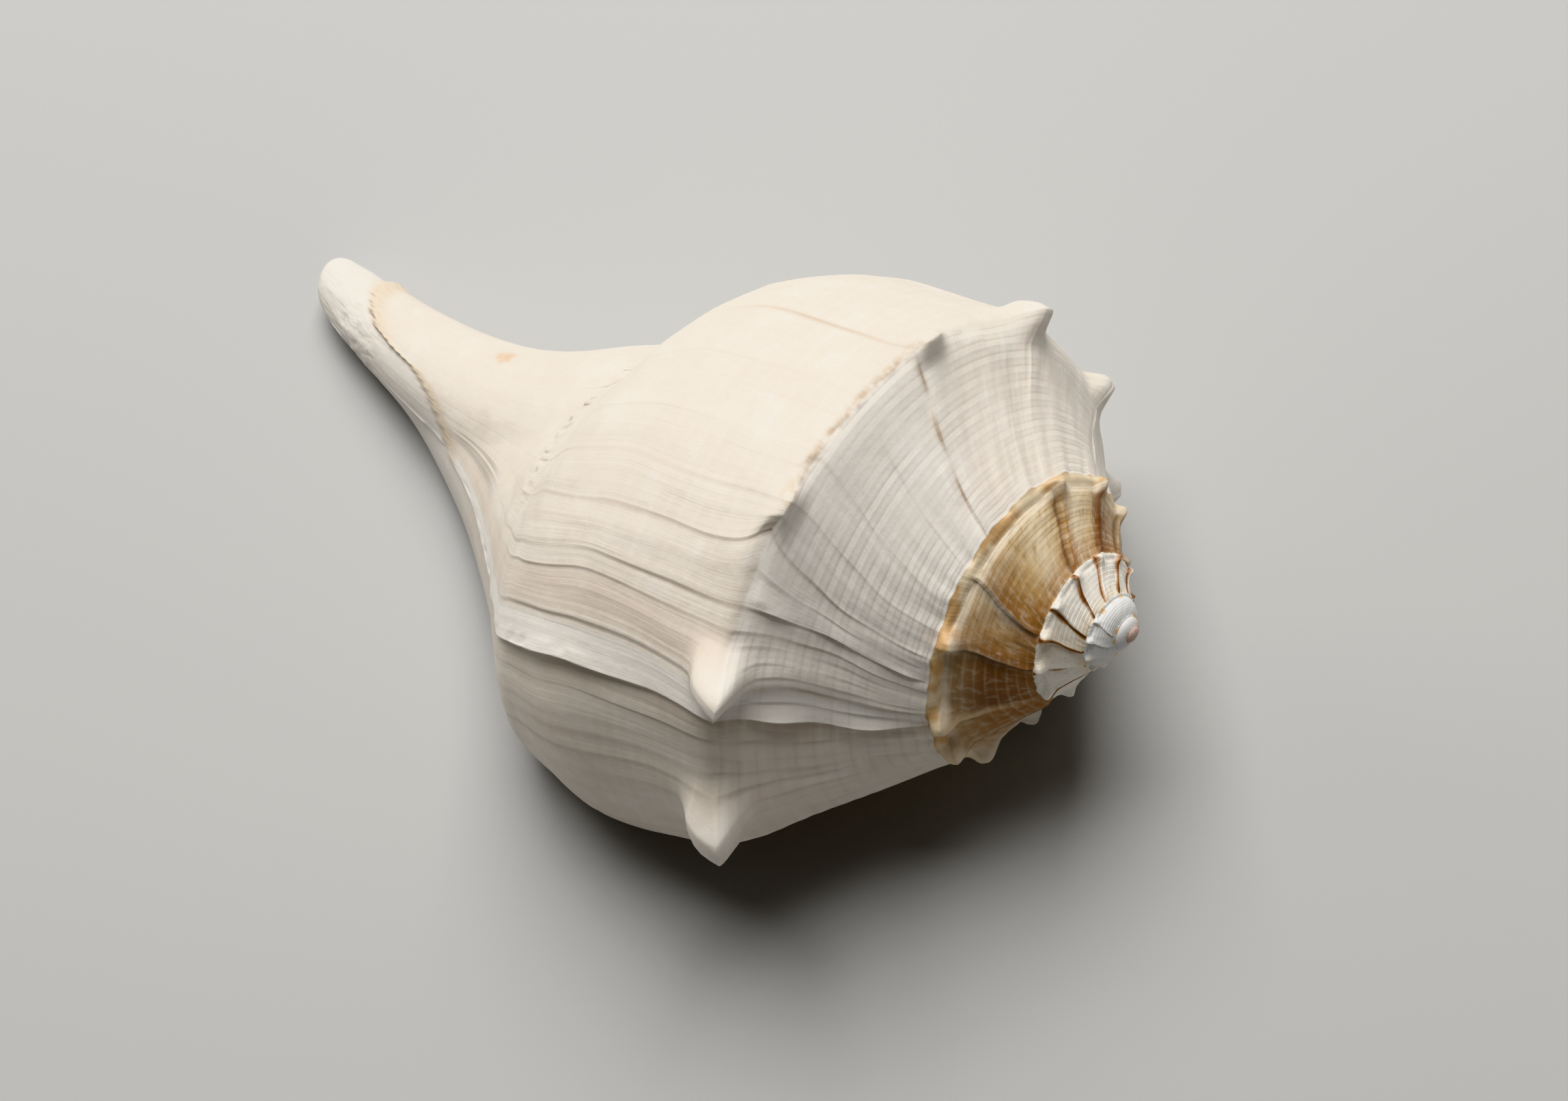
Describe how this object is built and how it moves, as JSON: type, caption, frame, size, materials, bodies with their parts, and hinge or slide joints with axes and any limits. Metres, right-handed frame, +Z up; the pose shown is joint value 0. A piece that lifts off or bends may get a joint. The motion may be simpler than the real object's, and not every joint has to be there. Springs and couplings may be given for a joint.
{
  "type": "whelk shell",
  "caption": "Large left-handed spiral sea shell with a knobbed shoulder, low stepped spire and long open canal, lying on its opening",
  "frame": {"origin": "centre of the bounding box on the ground it lies on", "axes": "+Z up, +X from the canal end towards the tip of the spire, shell in its resting pose with the opening down"},
  "size_m": [0.1708, 0.1008, 0.0807],
  "materials": {
    "shell_ivory": "satin ivory shell with tan growth lines, spire amber brown"
  },
  "bodies": {
    "root": {"whelk_shell": "shell_ivory"}
  },
  "joints": []
}
